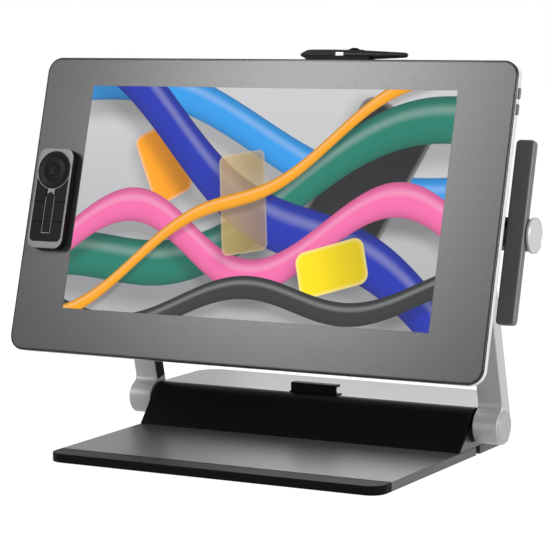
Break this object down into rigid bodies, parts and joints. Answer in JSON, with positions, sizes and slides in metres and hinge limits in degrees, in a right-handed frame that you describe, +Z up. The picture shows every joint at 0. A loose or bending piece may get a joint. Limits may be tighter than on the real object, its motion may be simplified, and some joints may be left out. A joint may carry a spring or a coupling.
{
  "type": "pen display on a desk stand",
  "caption": "Wide pen display held by two leaning arms on a flat desk stand, with squeeze levers, a key remote on its bezel and a pen on its top edge.",
  "frame": {"origin": "on the desk under the middle of the base", "axes": "+X to the right of someone who faces the screen, +Y to the back, +Z up"},
  "size_m": [0.684, 0.394, 0.5177],
  "materials": {
    "base_black": "satin black powder coat",
    "foot_rubber": "matt rubber",
    "ramp_black": "fine grained black",
    "top_grey": "smooth satin dark grey",
    "rear_dark": "fine grained",
    "cheek_grey": "satin dark grey",
    "block_alloy": "as cast",
    "bush_bronze": "sintered bronze",
    "spring_steel": "bright steel",
    "shaft_steel": "ground steel",
    "arm_silver": "satin anodised silver",
    "cap_silver": "satin anodised silver",
    "tube_alloy": "satin anodised grey",
    "cradle_dark": "dark powder coat",
    "lever_grey": "satin dark grey",
    "band_silver": "satin anodised silver",
    "frame_black": "smooth black",
    "bezel_glass": "etched glass, printed grey border behind",
    "panel_glass": "picture panel",
    "board_green": "solder mask",
    "chassis_alloy": "sheet metal",
    "fan_black": "moulded",
    "button_grey": "satin",
    "remote_black": "satin black",
    "remote_silver": "satin silver",
    "key_black": "satin black",
    "battery_grey": "pouch cell",
    "pen_black": "satin black",
    "pen_rubber": "soft grip",
    "nib_grey": "hard nib",
    "switch_black": "smooth"
  },
  "bodies": {
    "base": {"base_plate": "base_black", "base_feet": "foot_rubber", "ramp_cover": "ramp_black", "top_cover": "top_grey", "rear_cover": "rear_dark", "end_cheeks": "cheek_grey", "cable_clip": "ramp_black", "hinge_blocks": "block_alloy", "lower_bushes": "bush_bronze", "lift_springs": "spring_steel", "base_screws": "spring_steel"},
    "arms": {"lower_shaft": "shaft_steel", "left_arm": "arm_silver", "right_arm": "arm_silver", "arm_covers": "ramp_black", "lower_caps": "cap_silver", "upper_bushes": "bush_bronze"},
    "cradle": {"cross_tube": "tube_alloy", "tilt_cradle": "cradle_dark", "lever_hubs": "lever_grey", "upper_caps": "cap_silver", "lever_pins": "spring_steel", "lever_springs": "spring_steel"},
    "left_lever": {"left_lever": "lever_grey"},
    "right_lever": {"right_lever": "lever_grey"},
    "screen": {"mount_plate": "cradle_dark", "swivel_retainer": "cradle_dark", "mount_screws": "spring_steel", "back_cover": "rear_dark", "side_band": "band_silver", "front_frame": "frame_black", "front_glass": "bezel_glass", "display_panel": "panel_glass", "sensor_board": "board_green", "chassis_plate": "chassis_alloy", "main_board": "board_green", "heat_sink": "chassis_alloy", "fan_housing": "fan_black", "port_block": "fan_black", "pen_tray": "ramp_black"},
    "fan": {"fan_rotor": "fan_black"},
    "power_button": {"power_button": "button_grey"},
    "touch_button": {"touch_button": "button_grey"},
    "remote": {"remote_shell": "remote_black", "remote_frame": "remote_silver", "touch_ring": "key_black", "remote_board": "board_green", "remote_battery": "battery_grey"},
    "ring_button": {"ring_button": "key_black"},
    "pen": {"pen_barrel": "pen_black", "pen_grip": "pen_rubber"},
    "nib": {"pen_nib": "nib_grey"},
    "pen_switch": {"pen_switch": "switch_black"},
    "left_key_1": {"left_key_1": "key_black"},
    "left_key_2": {"left_key_2": "key_black"},
    "left_key_3": {"left_key_3": "key_black"},
    "right_key_1": {"right_key_1": "key_black"},
    "right_key_2": {"right_key_2": "key_black"},
    "right_key_3": {"right_key_3": "key_black"},
    "middle_key": {"middle_key": "key_black"}
  },
  "joints": [
    {"name": "arm_swing", "type": "hinge", "parent": "base", "child": "arms", "pos_m": [0, 0.0763, 0.0401], "axis": [1, 0, 0], "range_deg": [0, 25]},
    {"name": "screen_tilt", "type": "hinge", "parent": "arms", "child": "cradle", "pos_m": [0, 0.01457, 0.29143], "axis": [-1, 0, 0], "range_deg": [0, 68]},
    {"name": "screen_turn", "type": "hinge", "parent": "cradle", "child": "screen", "pos_m": [0, 0.01457, 0.29143], "axis": [0, -0.9593, 0.2823], "range_deg": [-20, 20]},
    {"name": "left_lever_squeeze", "type": "hinge", "parent": "cradle", "child": "left_lever", "pos_m": [-0.30445, -0.00174, 0.29623], "axis": [0, 0.2823, 0.9593], "range_deg": [0, 10], "stiffness_Nm_per_rad": 0.6, "springref_deg": -5.73},
    {"name": "right_lever_squeeze", "type": "hinge", "parent": "cradle", "child": "right_lever", "pos_m": [0.30445, -0.00174, 0.29623], "axis": [0, -0.2823, -0.9593], "range_deg": [0, 10], "stiffness_Nm_per_rad": 0.6, "springref_deg": -5.73},
    {"name": "fan_spin", "type": "hinge", "parent": "screen", "child": "fan", "pos_m": [-0.15, -0.05323, 0.33025], "axis": [0, -0.9593, 0.2823], "continuous": true},
    {"name": "power_press", "type": "slide", "parent": "screen", "child": "power_button", "axis": [-1, 0, 0], "range_m": [0, 0.001], "stiffness_N_per_m": 600, "springref_m": -0.001},
    {"name": "touch_press", "type": "slide", "parent": "screen", "child": "touch_button", "axis": [-1, 0, 0], "range_m": [0, 0.001], "stiffness_N_per_m": 600, "springref_m": -0.001},
    {"name": "remote_lift", "type": "slide", "parent": "screen", "child": "remote", "axis": [0, -0.9593, 0.2823], "range_m": [0, 0.03]},
    {"name": "ring_press", "type": "slide", "parent": "remote", "child": "ring_button", "axis": [0, 0.9593, -0.2823], "range_m": [0, 0.0005], "stiffness_N_per_m": 800, "springref_m": -0.001},
    {"name": "left_key_1_press", "type": "slide", "parent": "remote", "child": "left_key_1", "axis": [0, 0.9593, -0.2823], "range_m": [0, 0.0005], "stiffness_N_per_m": 800, "springref_m": -0.001},
    {"name": "left_key_2_press", "type": "slide", "parent": "remote", "child": "left_key_2", "axis": [0, 0.9593, -0.2823], "range_m": [0, 0.0005], "stiffness_N_per_m": 800, "springref_m": -0.001},
    {"name": "left_key_3_press", "type": "slide", "parent": "remote", "child": "left_key_3", "axis": [0, 0.9593, -0.2823], "range_m": [0, 0.0005], "stiffness_N_per_m": 800, "springref_m": -0.001},
    {"name": "right_key_1_press", "type": "slide", "parent": "remote", "child": "right_key_1", "axis": [0, 0.9593, -0.2823], "range_m": [0, 0.0005], "stiffness_N_per_m": 800, "springref_m": -0.001},
    {"name": "right_key_2_press", "type": "slide", "parent": "remote", "child": "right_key_2", "axis": [0, 0.9593, -0.2823], "range_m": [0, 0.0005], "stiffness_N_per_m": 800, "springref_m": -0.001},
    {"name": "right_key_3_press", "type": "slide", "parent": "remote", "child": "right_key_3", "axis": [0, 0.9593, -0.2823], "range_m": [0, 0.0005], "stiffness_N_per_m": 800, "springref_m": -0.001},
    {"name": "middle_key_press", "type": "slide", "parent": "remote", "child": "middle_key", "axis": [0, 0.9593, -0.2823], "range_m": [0, 0.0005], "stiffness_N_per_m": 800, "springref_m": -0.001},
    {"name": "pen_lift", "type": "slide", "parent": "screen", "child": "pen", "axis": [0, 0.2823, 0.9593], "range_m": [0, 0.04]},
    {"name": "nib_press", "type": "slide", "parent": "pen", "child": "nib", "axis": [1, 0, 0], "range_m": [0, 0.0005], "stiffness_N_per_m": 1200, "springref_m": -0.0005},
    {"name": "pen_switch_rock", "type": "hinge", "parent": "pen", "child": "pen_switch", "pos_m": [0.1095, -0.00802, 0.51219], "axis": [0, -0.9593, 0.2823], "range_deg": [-3, 3], "stiffness_Nm_per_rad": 0.05}
  ]
}
